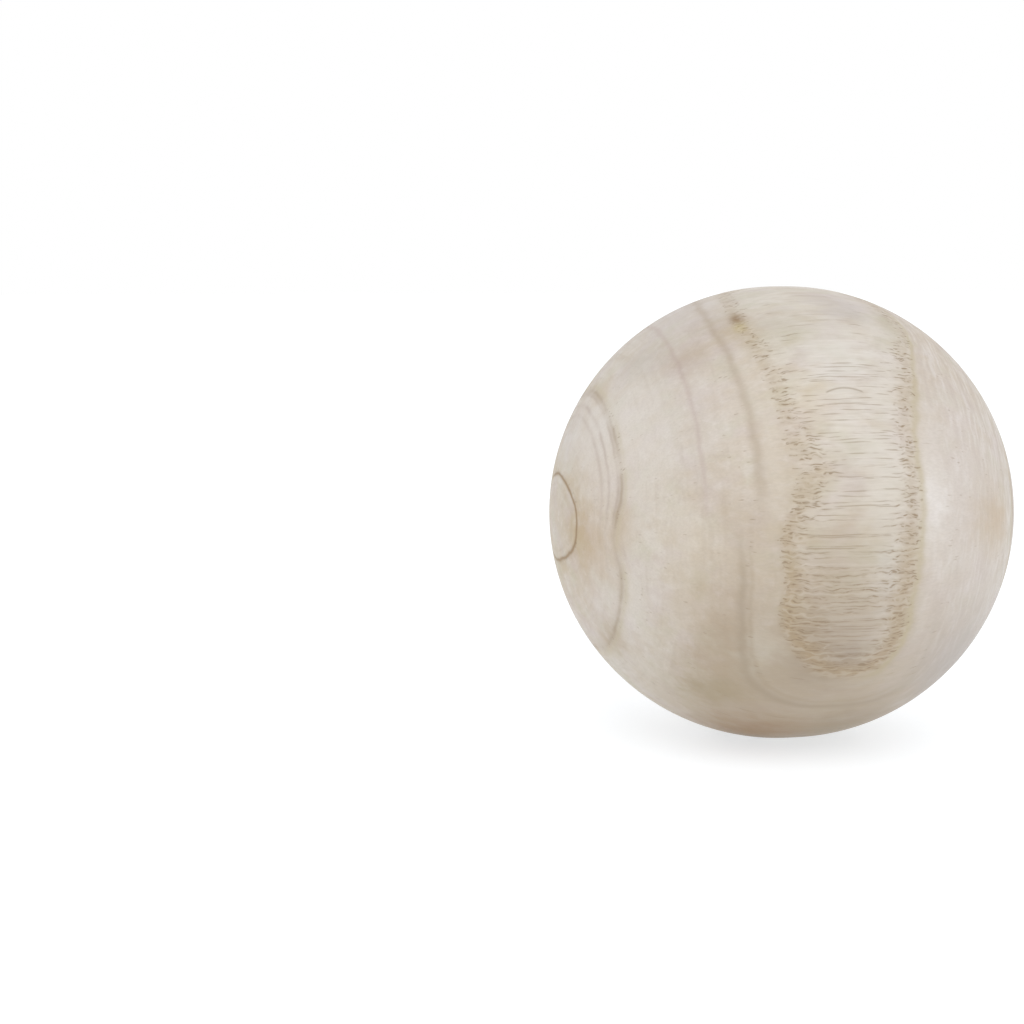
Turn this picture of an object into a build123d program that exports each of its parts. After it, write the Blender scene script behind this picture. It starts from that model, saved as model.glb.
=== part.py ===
from build123d import *
import os

# A turned wooden ball, one solid piece of pale paulownia.
# It was turned on a lathe from a log with the pith running through its middle, so the
# growth rings circle the lathe axis. It is not quite a sphere: each end was rounded by
# itself to the same radius, and a narrow straight land is left round the belt, where the
# two halves meet. So it measures a little more along the grain than across it.
#
# Frame, in millimetres: the origin is the middle of the ball, +X runs along the grain
# from one end-grain pole to the other, and +Z is up. The ball lies with its grain level.

belt_diameter = 99.4  # across the grain
belt_land = 2.2  # width of the straight land round the belt

end_radius = belt_diameter / 2
end_centre = belt_land / 2


def turned_ball():
    """The ball: half its outline, pole to pole, swung about the lathe axis."""
    with BuildPart() as turned:
        with BuildSketch():
            with BuildLine():
                left_end = CenterArc((-end_centre, 0), end_radius, 90, 90)
                right_end = CenterArc((end_centre, 0), end_radius, 0, 90)
                Line(left_end @ 0, right_end @ 1)
                Line(left_end @ 1, right_end @ 0)
            make_face()
        revolve(axis=Axis.X)
    return turned


os.makedirs("parts", exist_ok=True)

ball = turned_ball()
ball.part.label = "ball"
export_step(ball.part, "parts/ball.step")

print("ball volume", round(ball.part.volume), "mm3, size", ball.part.bounding_box().size)
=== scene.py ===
"""A turned wooden ball of pale paulownia, lying with its grain level on a white table."""

import bpy
import math
import numpy as np
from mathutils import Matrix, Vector


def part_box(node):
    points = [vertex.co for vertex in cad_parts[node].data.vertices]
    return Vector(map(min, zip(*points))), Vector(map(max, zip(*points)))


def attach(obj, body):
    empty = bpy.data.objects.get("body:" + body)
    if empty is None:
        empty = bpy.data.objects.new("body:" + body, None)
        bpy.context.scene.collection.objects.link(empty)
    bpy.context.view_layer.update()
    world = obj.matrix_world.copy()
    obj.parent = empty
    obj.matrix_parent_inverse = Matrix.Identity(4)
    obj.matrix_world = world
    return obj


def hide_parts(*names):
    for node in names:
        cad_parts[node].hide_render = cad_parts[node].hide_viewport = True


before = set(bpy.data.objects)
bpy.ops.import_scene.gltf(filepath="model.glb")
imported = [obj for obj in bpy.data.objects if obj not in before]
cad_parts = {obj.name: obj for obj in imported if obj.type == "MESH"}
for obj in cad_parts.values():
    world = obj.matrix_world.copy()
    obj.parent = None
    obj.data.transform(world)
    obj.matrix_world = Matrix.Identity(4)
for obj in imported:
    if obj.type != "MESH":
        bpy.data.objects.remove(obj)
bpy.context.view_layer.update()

# The ball.
# One piece of bare paulownia, turned on a lathe along the grain and sanded smooth. Each
# end was rounded by itself, and a narrow straight land is left where the halves meet.
low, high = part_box("ball")
radius = (high[2] - low[2]) / 2
land = (high[0] - low[0]) - (high[2] - low[2])
points_along_edge = 129
sanding_unevenness = 0.00004
unevenness_size = 0.02
unevenness_detail = 2.0
# How fast the surface moves from one half to the other across the land.
step_at_land = 200.0


class Tree:
    """Adds nodes to a tree of nodes, and gives back the outputs that the next ones read."""

    def __init__(self, tree):
        self.tree = tree

    def add(self, kind, inputs=None, **settings):
        """A new node, with its settings, and with a value or a link on each input named."""
        node = self.tree.nodes.new(kind)
        for name, value in settings.items():
            setattr(node, name, value)
        for name, value in (inputs or {}).items():
            self.feed(node.inputs[name], value)
        return node

    def feed(self, socket, value):
        """Links the socket to another node's output, or sets its value."""
        if isinstance(value, bpy.types.NodeSocket):
            self.tree.links.new(value, socket)
        else:
            socket.default_value = value

    def calc(self, operation, *values):
        """The result of a sum on numbers."""
        node = self.add("ShaderNodeMath", operation=operation)
        for socket, value in zip(node.inputs, values):
            self.feed(socket, value)
        return node.outputs[0]

    def vector(self, operation, *values):
        """The result of a sum on places or directions."""
        node = self.add("ShaderNodeVectorMath", operation=operation)
        for socket, value in zip(node.inputs, values):
            self.feed(socket, value)
        gives_number = operation in ("LENGTH", "DOT_PRODUCT")
        return node.outputs["Value"] if gives_number else node.outputs["Vector"]

    def split(self, value):
        """A place's three parts."""
        node = self.add("ShaderNodeSeparateXYZ", {"Vector": value})
        return node.outputs[0], node.outputs[1], node.outputs[2]

    def join(self, x, y, z):
        """A place from its three parts."""
        return self.add("ShaderNodeCombineXYZ", {"X": x, "Y": y, "Z": z}).outputs[0]


# The turned form, made from the six faces of a cube: their grid is swung out to equal
# angles, rounded to the radius, and parted by the land.
group = bpy.data.node_groups.new("turned ball", "GeometryNodeTree")
form = Tree(group)
group.interface.new_socket("Geometry", in_out="OUTPUT", socket_type="NodeSocketGeometry")
form_inputs = {}
for name, kind in (
    ("Radius", "NodeSocketFloat"),
    ("Land", "NodeSocketFloat"),
    ("Points along an edge", "NodeSocketInt"),
    ("Sanding unevenness", "NodeSocketFloat"),
    ("Unevenness size", "NodeSocketFloat"),
    ("Wood", "NodeSocketMaterial"),
):
    form_inputs[name] = group.interface.new_socket(name, in_out="INPUT", socket_type=kind)
given = form.add("NodeGroupInput").outputs

cube = form.add("GeometryNodeMeshCube", {"Size": (2, 2, 2)})
for name in ("Vertices X", "Vertices Y", "Vertices Z"):
    form.feed(cube.inputs[name], given["Points along an edge"])
on_cube = form.split(form.add("GeometryNodeInputPosition").outputs[0])
swung = [form.calc("TANGENT", form.calc("MULTIPLY", part, math.pi / 4)) for part in on_cube]
outward = form.vector("NORMALIZE", form.join(*swung))
full_radius = form.join(given["Radius"], given["Radius"], given["Radius"])
unevenness = form.add("ShaderNodeTexNoise", {
    "Vector": form.vector("MULTIPLY", outward, full_radius),
    "Scale": form.calc("DIVIDE", 1.0, given["Unevenness size"]),
    "Detail": unevenness_detail,
}).outputs[0]
sanded_off = form.calc("MULTIPLY", given["Sanding unevenness"], unevenness)
reach = form.calc("SUBTRACT", given["Radius"], sanded_off)
side = form.calc("MULTIPLY", form.split(outward)[0], step_at_land)
side = form.calc("MAXIMUM", form.calc("MINIMUM", side, 1.0), -1.0)
half_land = form.calc("MULTIPLY", form.calc("MULTIPLY", given["Land"], 0.5), side)
rounded = form.vector("MULTIPLY", outward, form.join(reach, reach, reach))
placed = form.add("GeometryNodeSetPosition", {
    "Geometry": cube.outputs["Mesh"],
    "Position": form.vector("ADD", rounded, form.join(half_land, 0.0, 0.0)),
})
smooth = form.add("GeometryNodeSetShadeSmooth", {"Geometry": placed.outputs[0]})
real = form.add("GeometryNodeRealizeInstances", {"Geometry": smooth.outputs[0]})
finished = form.add("GeometryNodeSetMaterial", {
    "Geometry": real.outputs[0],
    "Material": given["Wood"],
})
form.add("NodeGroupOutput", {"Geometry": finished.outputs[0]})

# The wood. Rings circle a pith that runs along X, so the pattern is worked out in space,
# in millimetres, and the round surface cuts it as the lathe cut the log.
wood = bpy.data.materials.new("pale paulownia")
wood.use_nodes = True
wood.node_tree.nodes.clear()
look = Tree(wood.node_tree)
room_brightness = 1.19
ball_radius = radius * 1000


def linear(red, green, blue):
    """The wood's own colour, from how it looks in the bright room, as 0 to 255."""
    parts = [c / 255 for c in (red, green, blue)]
    return [((p + 0.055) / 1.055) ** 2.4 / room_brightness for p in parts] + [1.0]


def blend(amount, first, second):
    """The first colour, turned into the second by the amount."""
    node = look.add("ShaderNodeMix", data_type="RGBA")
    for number, value in ((0, amount), (6, first), (7, second)):
        look.feed(node.inputs[number], value)
    return node.outputs[2]


def ease(value, start, end, low=0.0, high=1.0):
    """Goes smoothly from low to high as the value goes from start to end."""
    return look.add(
        "ShaderNodeMapRange",
        {"Value": value, "From Min": start, "From Max": end, "To Min": low, "To Max": high},
        interpolation_type="SMOOTHSTEP",
    ).outputs[0]


def bell(value):
    """1 where the value is 0, and falling off smoothly on both sides of it."""
    squared = look.calc("MULTIPLY", value, value)
    return look.calc("EXPONENT", look.calc("MULTIPLY", squared, -1.0))


def noise(place, size, detail=2.0, roughness=0.5, output="Fac"):
    """Smooth random change, about one patch to each size along X, Y and Z."""
    return look.add("ShaderNodeTexNoise", {
        "Vector": look.vector("DIVIDE", place, size),
        "Scale": 1.0,
        "Detail": detail,
        "Roughness": roughness,
    }).outputs[output]


def drift(place, size, detail=2.0, roughness=0.5):
    """A random shift, in any direction."""
    shift = noise(place, size, detail, roughness, "Color")
    return look.vector("SUBTRACT", shift, (0.5, 0.5, 0.5))


def on_ball(from_left_end, round_front):
    """The place that is so many degrees from the left end, and so far up round the front."""
    t, p = math.radians(from_left_end), math.radians(round_front)
    level = math.sin(t) * ball_radius
    return (-math.cos(t) * ball_radius, -math.cos(p) * level, math.sin(p) * level)


def spot(place, centre, spread):
    """A soft spot in the wood, 1 in its middle and fading out over its spread."""
    apart = look.vector("DIVIDE", look.vector("SUBTRACT", place, centre), spread)
    return bell(look.vector("LENGTH", apart))


here = look.add("ShaderNodeTexCoord").outputs["Object"]
here = look.vector("MULTIPLY", here, (1000.0, 1000.0, 1000.0))
along, across, height = look.split(here)

# The pith bows a little, by so much each way in the middle of the ball.
bow_rate = 0.03
bow_across = 2.7
bow_height = -2.0
bow = look.calc("COSINE", look.calc("MULTIPLY", along, bow_rate))
from_pith = look.join(
    0.0,
    look.calc("SUBTRACT", across, look.calc("MULTIPLY", bow, bow_across)),
    look.calc("SUBTRACT", height, look.calc("MULTIPLY", bow, bow_height)),
)
outwards_there = look.vector("NORMALIZE", from_pith)
ring = look.vector("LENGTH", from_pith)

# The rings swell and dip round old side shoots: where, how wide and how far out.
for centre, spread, outwards in (
    ((-48.5, -12, 0), (6, 6, 9), 3.4),
    ((-48, 12, 0), (7, 7, 10), 5.0),
    (on_ball(10, -75), (5, 5, 4), -0.8),
    (on_ball(30, -2), (9, 8, 7), -2.9),
    (on_ball(73, 0), (7, 20, 6), -1.0),
    (on_ball(79, 18), (7, 20, 6), 0.7),
    (on_ball(88, -58), (24, 10.5, 12.5), 7.2),
    (on_ball(88, 70), (26, 24, 18), -2.2),
    (on_ball(74, -18), (7, 12, 11), -1.5),
    (on_ball(92, -26), (10, 12, 8), -1.2),
    (on_ball(106, 22), (5, 12, 14), 0.8),
    (on_ball(112, 62), (6, 10, 8), -1.0),
):
    swelling = spot(here, centre, spread)
    ring = look.calc("SUBTRACT", ring, look.calc("MULTIPLY", swelling, outwards))

# No ring is quite even: it wavers over a few millimetres, and shivers over two.
waver = noise(here, (16, 5, 5))
shiver = noise(here, (7, 2.2, 2.2))
for uneven, most in ((waver, 0.7), (shiver, 0.5)):
    off_middle = look.calc("SUBTRACT", uneven, 0.5)
    ring = look.calc("ADD", ring, look.calc("MULTIPLY", off_middle, most))

# Colours from the pith outwards, by distance in millimetres.
outermost = 54.0
zones = look.add("ShaderNodeValToRGB", {"Fac": look.calc("DIVIDE", ring, outermost)})
stops = (
    (0.0, (207, 194, 177)),
    (8.5, (203, 189, 168)),
    (10.0, (196, 178, 148)),
    (13.0, (201, 185, 161)),
    (20.0, (208, 194, 178)),
    (25.0, (210, 198, 185)),
    (27.5, (202, 189, 172)),
    (28.6, (203, 190, 168)),
    (31.0, (212, 203, 191)),
    (37.0, (211, 201, 187)),
    (42.0, (205, 192, 176)),
    (47.0, (205, 191, 174)),
    (50.2, (205, 192, 174)),
    (51.2, (200, 187, 167)),
    (52.2, (214, 205, 191)),
    (53.0, (218, 210, 198)),
)
ramp = zones.color_ramp
while len(ramp.elements) < len(stops):
    ramp.elements.new(0.5)
for element, (distance, stop) in zip(ramp.elements, stops):
    element.position = distance / outermost
    element.color = linear(*stop)
colour = zones.outputs["Color"]

# Cloudiness: pinkish in some places, olive in others, and small pale and dull patches.
# Each has a shift, so that no two fall together, a size, where it starts and is whole in
# the noise, its strength and its colour.
for shift, size, start, whole, most, cloud_colour in (
    (0, (13, 7, 7), 0.45, 0.7, 0.6, (206, 192, 188)),
    (40, (11, 6, 6), 0.48, 0.7, 0.6, (200, 194, 172)),
    (80, (8, 4, 4), 0.44, 0.74, 0.4, (192, 172, 144)),
    (120, (9, 5, 5), 0.46, 0.74, 0.4, (226, 219, 213)),
    (160, (4, 1.6, 1.6), 0.5, 0.75, 0.35, (226, 217, 210)),
    (200, (4, 1.6, 1.6), 0.5, 0.75, 0.35, (188, 174, 160)),
):
    cloudy = noise(look.vector("ADD", here, (shift, 0, 0)), size, 3.0)
    colour = blend(ease(cloudy, start, whole, 0.0, most), colour, linear(*cloud_colour))


def streaks(round_pith, width, length, detail):
    """Streaks that follow the rings: how many round the pith, how wide and how long."""
    round_ring = look.vector("MULTIPLY", outwards_there, (0, round_pith, round_pith))
    out_of_ring = look.join(look.calc("DIVIDE", ring, width), 0.0, 0.0)
    return look.add(
        "ShaderNodeTexNoise",
        {
            "Vector": look.vector("ADD", round_ring, out_of_ring),
            "W": look.calc("DIVIDE", along, length),
            "Scale": 1.0,
            "Detail": detail,
        },
        noise_dimensions="4D",
    ).outputs["Fac"]


# Faint streaks all over, and finer ones on the right part: each is dull where the noise
# is high, and pale where it is low.
broad_streaks = streaks(3.5, 0.9, 24.0, 2.0)
fine_streaks = streaks(9.0, 0.55, 5.0, 1.5)
everywhere = 1.0
right_part = ease(along, 12.0, 20.0)
for streak, whole, most, streak_colour, where in (
    (broad_streaks, 0.75, 0.25, (180, 164, 144), everywhere),
    (broad_streaks, 0.25, 0.22, (224, 216, 206), everywhere),
    (fine_streaks, 0.68, 0.5, (188, 172, 158), right_part),
    (fine_streaks, 0.32, 0.5, (232, 226, 222), right_part),
):
    strength = look.calc("MULTIPLY", ease(streak, 0.5, whole, 0.0, most), where)
    colour = blend(strength, colour, linear(*streak_colour))

# Patches: where, how wide, how strong and in what colour. The large ones have ragged edges.
largest_plain_patch = 2.5
ragged = drift(here, (6, 3, 3), 3.0, 0.6)
ragged = look.vector("MULTIPLY_ADD", ragged, (10.0, 9.0, 9.0), here)
for centre, spread, amount, stain_and_shade_colour in (
    (on_ball(118, 8), (16, 30, 36), 0.7, (216, 207, 201)),
    (on_ball(96, 14), (4, 10, 16), 0.4, (224, 218, 208)),
    (on_ball(108, 12), (5, 10, 12), 0.45, (232, 226, 220)),
    (on_ball(97, -10), (3.5, 8, 8), 0.6, (224, 222, 220)),
    (on_ball(108, 9), (4, 4, 5), 0.35, (240, 236, 234)),
    (on_ball(90, 46), (7, 7, 6), 0.35, (232, 230, 226)),
    (on_ball(125, -38), (16, 24, 12), 0.5, (196, 187, 182)),
    (on_ball(122, -46), (12, 14, 10), 0.45, (164, 158, 158)),
    # Broad dark tan over the lower front: partly the wood's own tone, partly painted shade that
    # makes the ball darker below its middle.
    (on_ball(88, -40), (26, 24, 20), 0.6, (184, 168, 146)),
    (on_ball(82, -4), (12, 16, 13), 0.4, (178, 160, 130)),
    (on_ball(84, -22), (13, 14, 12), 0.65, (168, 150, 130)),
    (on_ball(84, -33), (9, 12, 6), 0.5, (158, 142, 124)),
    (on_ball(61, -26), (6.5, 12, 12), 0.65, (172, 152, 128)),
    # Darker tan low on the left: partly the wood's own tone, partly painted shade towards the
    # bottom.
    (on_ball(66, -42), (11, 16, 10), 0.6, (170, 150, 122)),
    (on_ball(60, -50), (6, 8, 4), 0.5, (158, 142, 104)),
    (on_ball(84, -52), (10, 10, 4), 0.3, (196, 184, 162)),
    # Broad dark brown across the bottom: partly the wood's own tone, partly painted shade under
    # the ball.
    (on_ball(84, -64), (30, 16, 13), 0.5, (158, 136, 106)),
    (on_ball(79, -23), (4, 5, 6), 0.45, (150, 130, 104)),
    (on_ball(88, -30), (6, 5, 3), 0.4, (150, 134, 122)),
    (on_ball(60, 5), (7, 8, 8), 0.4, (184, 166, 144)),
    (on_ball(50, -16), (5, 7, 8), 0.35, (184, 162, 134)),
    (on_ball(68, -30), (3.5, 6, 7), 0.4, (206, 200, 186)),
    (on_ball(98, -60), (10, 10, 8), 0.5, (150, 130, 100)),
    (on_ball(76, -68), (10, 12, 8), 0.75, (150, 112, 66)),
    (on_ball(33, 75), (3, 4, 4), 0.5, (190, 164, 124)),
    (on_ball(31, 3), (2.5, 4, 5), 0.45, (186, 158, 122)),
    (on_ball(34, -60), (3, 4, 4), 0.45, (176, 152, 120)),
    (on_ball(134, 3), (5, 8, 6), 0.6, (198, 174, 142)),
    (on_ball(126, 5), (5, 8, 5), 0.3, (190, 168, 136)),
    (on_ball(30, 58), (13, 12, 11), 0.6, (226, 220, 214)),
    (on_ball(17, 92), (6, 8, 6), 0.5, (222, 218, 214)),
    (on_ball(33, 32), (10, 10, 12), 0.5, (224, 214, 203)),
    (on_ball(33, -36), (9, 12, 13), 0.45, (222, 214, 206)),
    (on_ball(52, 38), (12, 14, 14), 0.35, (222, 216, 212)),
    (on_ball(68, 35), (6, 12, 16), 0.3, (224, 214, 202)),
    (on_ball(50, 0), (7, 8, 8), 0.3, (224, 214, 196)),
    (on_ball(60, 84), (13, 16, 8), 0.4, (212, 208, 210)),
    (on_ball(20, -12), (7, 8, 7), 0.6, (194, 170, 140)),
    (on_ball(14, -8), (3, 4, 5), 0.5, (186, 160, 116)),
    (on_ball(34, -55), (4, 5, 4), 0.5, (184, 164, 140)),
    (on_ball(55, 58), (5, 5, 4), 0.45, (178, 158, 140)),
    (on_ball(46, 70), (6, 6, 5), 0.4, (182, 174, 164)),
    (on_ball(66, 67), (5, 6, 6), 0.3, (176, 158, 140)),
    (on_ball(71, 61), (3, 6, 4.5), 0.5, (186, 164, 130)),
    (on_ball(70.4, 66.3), (1.3, 2, 1.8), 0.95, (128, 94, 54)),
    (on_ball(70, 62), (1.2, 2, 1.8), 0.5, (196, 180, 112)),
    (on_ball(79, 58), (7, 7, 5), 0.45, (186, 178, 152)),
    (on_ball(80, 33), (4, 6, 6), 0.3, (206, 188, 152)),
    (on_ball(97, 66), (6, 8, 4), 0.5, (188, 178, 176)),
    (on_ball(108, 62), (2.5, 6, 6), 0.5, (178, 168, 140)),
):
    patch = spot(ragged if min(spread) > largest_plain_patch else here, centre, spread)
    colour = blend(look.calc("MULTIPLY", patch, amount), colour, linear(*stain_and_shade_colour))

# The dark lines at the rings' edges: how far out, how wide, how dark, in what colour and
# where. A line fades and comes back along the ring.
clear_of_clouds = look.vector("ADD", here, (0, 0, 70))
fading = ease(noise(clear_of_clouds, (14, 8, 8)), 0.35, 0.6, 0.3, 1.0)
left_half = ease(along, 4.0, -6.0, 0.15, 1.0)
upper_left = look.calc("MULTIPLY", left_half, ease(height, 0.0, 16.0))
lower = look.calc("MULTIPLY", ease(along, 20.0, 8.0, 0.15, 1.0), ease(height, 6.0, -10.0))
above = look.calc("MULTIPLY", fading, ease(height, -8.0, 6.0, 0.2, 1.0))
below = ease(height, 22.0, -12.0, 0.3, 1.0)
from_middle_on = ease(along, 0.0, 10.0)
near_side = ease(across, 9.0, 5.0)
near_side = look.calc("MAXIMUM", near_side, ease(along, 0.0, 10.0, 0.2, 0.75))
for distance, width, amount, line_colour, where in (
    (51.3, 0.6, 0.6, (172, 148, 112), below),
    (50.6, 0.3, 0.5, (188, 174, 138), from_middle_on),
    (7.4, 0.5, 0.2, (180, 158, 126), near_side),
    (9.5, 0.4, 0.9, (146, 116, 74), near_side),
    (22.4, 0.5, 0.4, (182, 164, 152), above),
    (24.6, 0.4, 0.5, (178, 160, 148), above),
    (27.0, 0.4, 0.5, (172, 154, 138), above),
    (27.9, 0.55, 0.6, (160, 140, 114), fading),
    (28.9, 0.5, 0.35, (190, 178, 146), fading),
    (42.6, 0.4, 0.4, (184, 164, 156), upper_left),
    (46.6, 0.6, 0.5, (160, 143, 120), lower),
    (47.6, 0.3, 0.3, (164, 146, 120), lower),
    (48.6, 0.5, 0.45, (172, 154, 132), upper_left),
):
    line = bell(look.calc("DIVIDE", look.calc("SUBTRACT", ring, distance), width))
    strength = look.calc("MULTIPLY", line, look.calc("MULTIPLY", where, amount))
    colour = blend(strength, colour, linear(*line_colour))


def band(start, whole, fades, end, most=1.0, least=0.0):
    """Between two distances from the pith: grows to the most, then falls to the least."""
    return look.calc("MULTIPLY", ease(ring, start, whole), ease(ring, fades, end, most, least))


# Vessels: thin tubes along the grain, most of them just outside the edge of a ring. Where
# the surface runs along them they open as long dashes, and across them as ticks and dots.
# Each is a little flattened, deeper than it is wide.
ring_edge = 50.9
vessel_spacing = 0.8
vessel_depth = 0.32
vessel_width = 0.14
sway_across = 1.2
kink_of_dash = 0.05
kink_of_tick = 1.3
at_edge = band(ring_edge - 0.6, ring_edge, ring_edge + 0.9, ring_edge + 1.6)
sway = look.vector("MULTIPLY", drift(here, (12, 2.5, 2.5)), (0.0, sway_across, sway_across))
kinked = look.calc("MULTIPLY_ADD", at_edge, kink_of_tick, kink_of_dash)
kink = drift(here, (2.0, 1.3, 1.3), 0.0)
kink = look.vector("MULTIPLY", kink, look.join(0.0, kinked, kinked))
on_end = look.vector("MULTIPLY", outwards_there, look.join(ring, ring, ring))
on_end = look.vector("ADD", on_end, look.vector("ADD", sway, kink))
_, end_across, end_height = look.split(on_end)
on_end = look.join(end_across, end_height, 0.0)
cells = look.add(
    "ShaderNodeTexVoronoi",
    {"Vector": on_end, "Scale": 1 / vessel_spacing},
    voronoi_dimensions="2D",
)

# How far the surface lies from the middle of its vessel, 1 at the vessel's wall.
wider_at_edge = -0.22
_, out_across, out_height = look.split(outwards_there)
outwards_on_end = look.join(out_across, out_height, 0.0)
round_on_end = look.join(out_height, look.calc("MULTIPLY", out_across, -1.0), 0.0)
from_vessel = look.vector("SUBTRACT", on_end, cells.outputs["Position"])
out_of_vessel = look.vector("DOT_PRODUCT", from_vessel, outwards_on_end)
beside_vessel = look.vector("DOT_PRODUCT", from_vessel, round_on_end)
from_middle = look.vector("LENGTH", look.join(
    look.calc("DIVIDE", out_of_vessel, vessel_depth),
    look.calc("DIVIDE", beside_vessel, vessel_width),
    0.0,
))
widening = look.calc("MULTIPLY_ADD", at_edge, wider_at_edge, 1.0)
opening = ease(look.calc("MULTIPLY", from_middle, widening), 0.5, 1.25, 1.0, 0.0)

# The share of the vessels that are there: most on the belt, some at the inner rings'
# edges, and few anywhere else or on the smooth top.
few = 0.02
top_raggedness = 16.0
chance = look.add("ShaderNodeSeparateColor", {"Color": cells.outputs["Color"]}).outputs[0]
share = band(ring_edge - 0.5, ring_edge + 0.1, ring_edge + 0.8, ring_edge + 1.4, 1.0, 0.75)
for edge, most in ((27.9, 0.25), (46.8, 0.12), (9.6, 0.3)):
    share = look.calc("ADD", share, band(edge - 0.2, edge + 0.1, edge + 0.5, edge + 1.5, most))
share = look.calc("ADD", share, few)
top_edge = look.calc("MULTIPLY_ADD", waver, top_raggedness, height)
smooth_top = ease(top_edge, 40.0, 46.0, 0.0, 0.88)
smooth_top = look.calc("MULTIPLY", smooth_top, look.calc("MULTIPLY_ADD", at_edge, -0.7, 1.0))
share = look.calc("MULTIPLY", share, look.calc("SUBTRACT", 1.0, smooth_top))
present = ease(look.calc("SUBTRACT", chance, share), -0.05, 0.05, 1.0, 0.0)

# Every vessel is broken along its length, and the ticks at the edge more often.
long_breaks = ease(noise(here, (5, 0.8, 0.8)), 0.34, 0.56)
short_breaks = ease(noise(here, (1.3, 0.7, 0.7)), 0.36, 0.54)
short_breaks = look.calc("MULTIPLY", look.calc("SUBTRACT", short_breaks, 1.0), at_edge)
broken = look.calc("MULTIPLY", long_breaks, look.calc("ADD", short_breaks, 1.0))
vessels = look.calc("MULTIPLY", look.calc("MULTIPLY", opening, present), broken)
dark_dash = 0.46
darker_tick = 0.36
darkness = look.calc("MULTIPLY_ADD", at_edge, darker_tick, dark_dash)
colour = blend(look.calc("MULTIPLY", vessels, darkness), colour, linear(146, 124, 96))

# The wood between the vessels is a little paler, most of all at the ring's edge.
pale_between = 0.05
paler_at_edge = 0.1
on_belt = ease(ring, ring_edge - 0.5, ring_edge + 0.1)
between = look.calc("MULTIPLY", ease(cells.outputs["Distance"], 0.45, 0.7), on_belt)
paleness = look.calc("MULTIPLY_ADD", at_edge, paler_at_edge, pale_between)
colour = blend(look.calc("MULTIPLY", between, paleness), colour, linear(234, 228, 218))

# One vessel runs in a small arch on the upper part of the belt.
arch_along = -1.0
arch_height = 29.9
arch_half_length = 4.2
arch_bend = -0.055
arch_thickness = 0.1715
arch_darkness = 0.6
beside_arch = look.calc("SUBTRACT", along, arch_along)
beside_arch = look.calc("MULTIPLY", beside_arch, beside_arch)
arch_line = look.calc("MULTIPLY_ADD", beside_arch, arch_bend, arch_height)
off_arch = look.calc("DIVIDE", look.calc("SUBTRACT", height, arch_line), arch_thickness)
half_squared = arch_half_length ** 2
arch_ends = ease(beside_arch, half_squared * 0.7, half_squared, arch_darkness, 0.0)
arch = look.calc("MULTIPLY", bell(off_arch), arch_ends)
front = ease(across, 0.0, -10.0)
colour = blend(look.calc("MULTIPLY", arch, front), colour, linear(146, 128, 106))

# Fibres, finer than a vessel and all along the grain.
fibre_darkness = 0.15
fibres = noise(here, (7, 0.35, 0.35), 3.0, 0.6)
colour = blend(ease(fibres, 0.25, 0.75, fibre_darkness, 0.0), colour, linear(150, 140, 124))

# Bare sanded wood: matt, with the vessels open a hair below the surface.
fibre_relief = 0.15
vessel_relief = 0.35
relief_depth = 0.0001
shine = 0.5
smoothest = 0.45
roughness_change = 0.15
relief = look.calc("SUBTRACT", look.calc("MULTIPLY", fibres, fibre_relief), vessels)
bump = look.add("ShaderNodeBump", {
    "Height": relief,
    "Strength": vessel_relief,
    "Distance": relief_depth,
})
surface = look.add("ShaderNodeBsdfPrincipled", {
    "Base Color": colour,
    "Roughness": look.calc("MULTIPLY_ADD", fibres, roughness_change, smoothest),
    "Normal": bump.outputs[0],
})
surface.inputs["Specular IOR Level"].default_value = shine
look.add("ShaderNodeOutputMaterial", {"Surface": surface.outputs[0]})

maker = bpy.data.objects.new("ball maker", bpy.data.meshes.new("ball maker"))
bpy.context.collection.objects.link(maker)
turning = maker.modifiers.new("turning", "NODES")
turning.node_group = group
for name, value in (
    ("Radius", radius),
    ("Land", land),
    ("Points along an edge", points_along_edge),
    ("Sanding unevenness", sanding_unevenness),
    ("Unevenness size", unevenness_size),
    ("Wood", wood),
):
    turning[form_inputs[name].identifier] = value
turned = maker.evaluated_get(bpy.context.evaluated_depsgraph_get())
mesh = bpy.data.meshes.new_from_object(turned)
maker.modifiers.remove(turning)
bpy.data.objects.remove(maker)
mesh.name = "turned ball"
ball = bpy.data.objects.new("turned_ball", mesh)
bpy.context.collection.objects.link(ball)

# A flat map of the surface: six squares, three by two, one for each face of the cube.
squares_across = 3
squares_up = 2
margin = 0.012
inside = 1 - 2 * margin
quarter_turn = math.pi / 2
point = np.empty(len(mesh.vertices) * 3)
mesh.vertices.foreach_get("co", point)
point_at_corner = np.empty(len(mesh.loops), dtype=int)
mesh.loops.foreach_get("vertex_index", point_at_corner)
corner = point.reshape(-1, 3)[point_at_corner]
middle = corner.reshape(-1, 4, 3).mean(axis=1)
face_axis = np.abs(middle).argmax(axis=1)
face_positive = np.take_along_axis(middle, face_axis[:, None], 1)[:, 0] > 0
axis = np.repeat(face_axis, 4)
positive = np.repeat(face_positive, 4)
depth = np.abs(np.take_along_axis(corner, axis[:, None], 1)[:, 0])
first = np.take_along_axis(corner, ((axis + 1) % 3)[:, None], 1)[:, 0]
second = np.take_along_axis(corner, ((axis + 2) % 3)[:, None], 1)[:, 0]
across_square = np.arctan2(first, depth) / quarter_turn + 0.5
up_square = np.arctan2(second, depth) / quarter_turn + 0.5
flat = np.stack([
    (axis + margin + across_square * inside) / squares_across,
    (positive + margin + up_square * inside) / squares_up,
], axis=1)
layer = mesh.uv_layers.new(name="OFBake")
layer.data.foreach_set("uv", flat.ravel())

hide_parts("ball")
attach(ball, "root")

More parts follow.
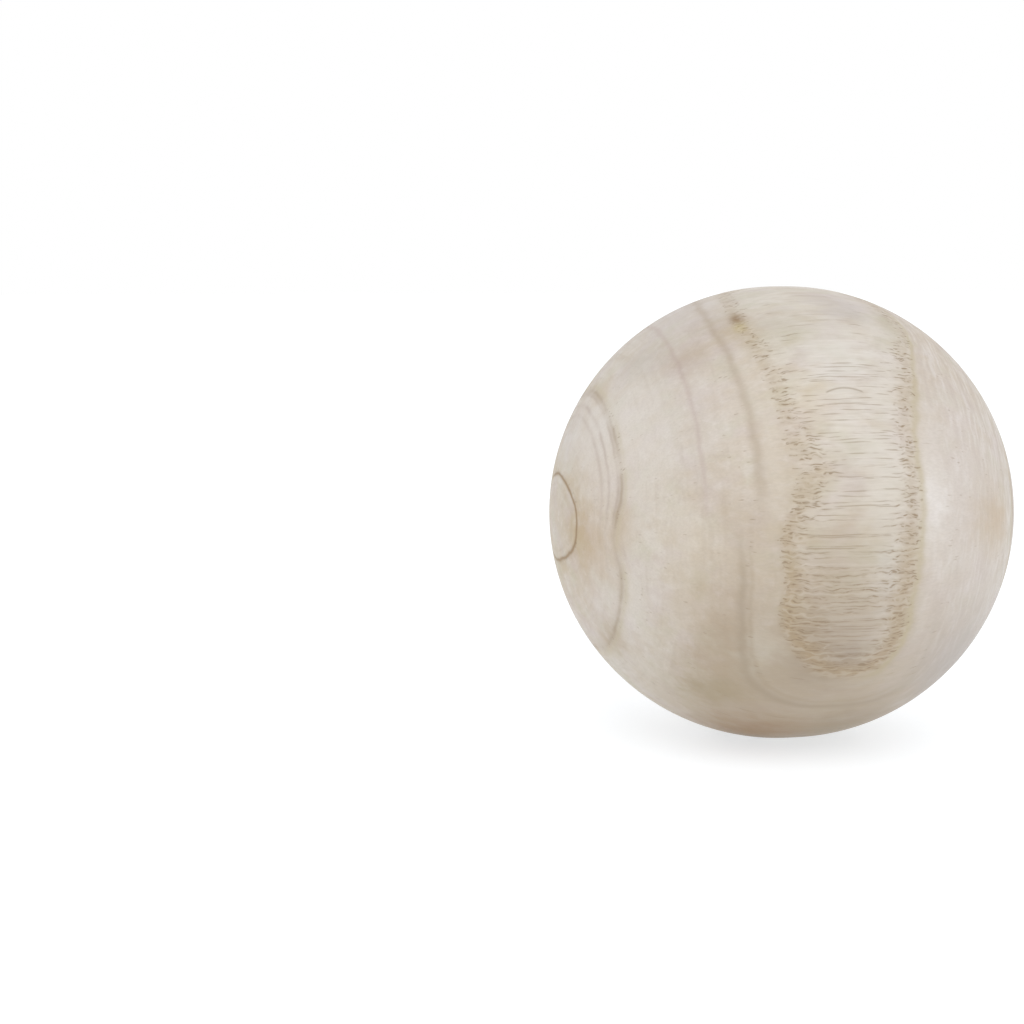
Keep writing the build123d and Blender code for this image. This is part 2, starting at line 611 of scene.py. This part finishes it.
# The table.
# A plain white surface, far wider than the view, so that it runs out into the white
# behind. It gives off some light of its own, which keeps the ball's shadow faint.
table_half = 6.0
table_grey = 0.55
table_glow = 0.6
glow_colour = (0.92, 0.96, 1.0)
table_roughness = 0.9
table_mesh = bpy.data.meshes.new("table")
table_corners = [
    (-table_half, -table_half, low[2]),
    (table_half, -table_half, low[2]),
    (table_half, table_half, low[2]),
    (-table_half, table_half, low[2]),
]
table_mesh.from_pydata(table_corners, [], [(0, 1, 2, 3)])
table = bpy.data.objects.new("table", table_mesh)
bpy.context.collection.objects.link(table)
paint = bpy.data.materials.new("white table")
paint.use_nodes = True
white = paint.node_tree.nodes["Principled BSDF"]
white.inputs["Base Color"].default_value = (table_grey, table_grey, table_grey, 1)
white.inputs["Roughness"].default_value = table_roughness
white.inputs["Specular IOR Level"].default_value = 0.0
white.inputs["Emission Color"].default_value = (*glow_colour, 1)
white.inputs["Emission Strength"].default_value = table_glow
table_mesh.materials.append(paint)

# The light.
# A white room all round lights the ball evenly. One large soft light hangs overhead,
# towards the front, so the ball is a little darker below.
room_light = 1.0
overhead_size = 1.2
overhead_power = 4.0
overhead_place = (-0.05, -0.95, 0.85)
world = bpy.data.worlds.new("white room")
world.use_nodes = True
background = world.node_tree.nodes["Background"]
background.inputs["Color"].default_value = (1, 1, 1, 1)
background.inputs["Strength"].default_value = room_light
bpy.context.scene.world = world

overhead = bpy.data.objects.new("overhead light", bpy.data.lights.new("overhead light", "AREA"))
overhead.data.shape = "DISK"
overhead.data.size = overhead_size
overhead.data.energy = overhead_power
overhead.location = overhead_place
overhead.rotation_mode = "QUATERNION"
overhead.rotation_quaternion = (-overhead.location).to_track_quat("-Z", "Y")
bpy.context.collection.objects.link(overhead)

# The camera.
# It stands in front of the ball, a little to the left, and looks slightly down on it.
# The ball lies right of the middle of the picture, so the line of sight passes it by.
picture_width = 1024
sensor_width = 36.0
focal_length = 72.0
seen_from_left = math.radians(12.5)
looking_down = math.radians(7.0)
ball_distance = 0.4535
ball_in_picture = (778.4, 512.0)

back = Vector((
    -math.sin(seen_from_left) * math.cos(looking_down),
    -math.cos(seen_from_left) * math.cos(looking_down),
    math.sin(looking_down),
))
right = Vector((math.cos(seen_from_left), -math.sin(seen_from_left), 0))
up = back.cross(right)
per_pixel = ball_distance * sensor_width / focal_length / picture_width
aside = (ball_in_picture[0] - picture_width / 2) * per_pixel
below_middle = (ball_in_picture[1] - picture_width / 2) * per_pixel

camera = bpy.data.objects.new("camera", bpy.data.cameras.new("camera"))
camera.data.sensor_width = sensor_width
camera.data.lens = focal_length
camera.location = back * ball_distance - right * aside + up * below_middle
camera.rotation_mode = "QUATERNION"
camera.rotation_quaternion = (-back).to_track_quat("-Z", "Y")
bpy.context.collection.objects.link(camera)
bpy.context.scene.camera = camera
bpy.context.scene.view_settings.view_transform = "Standard"
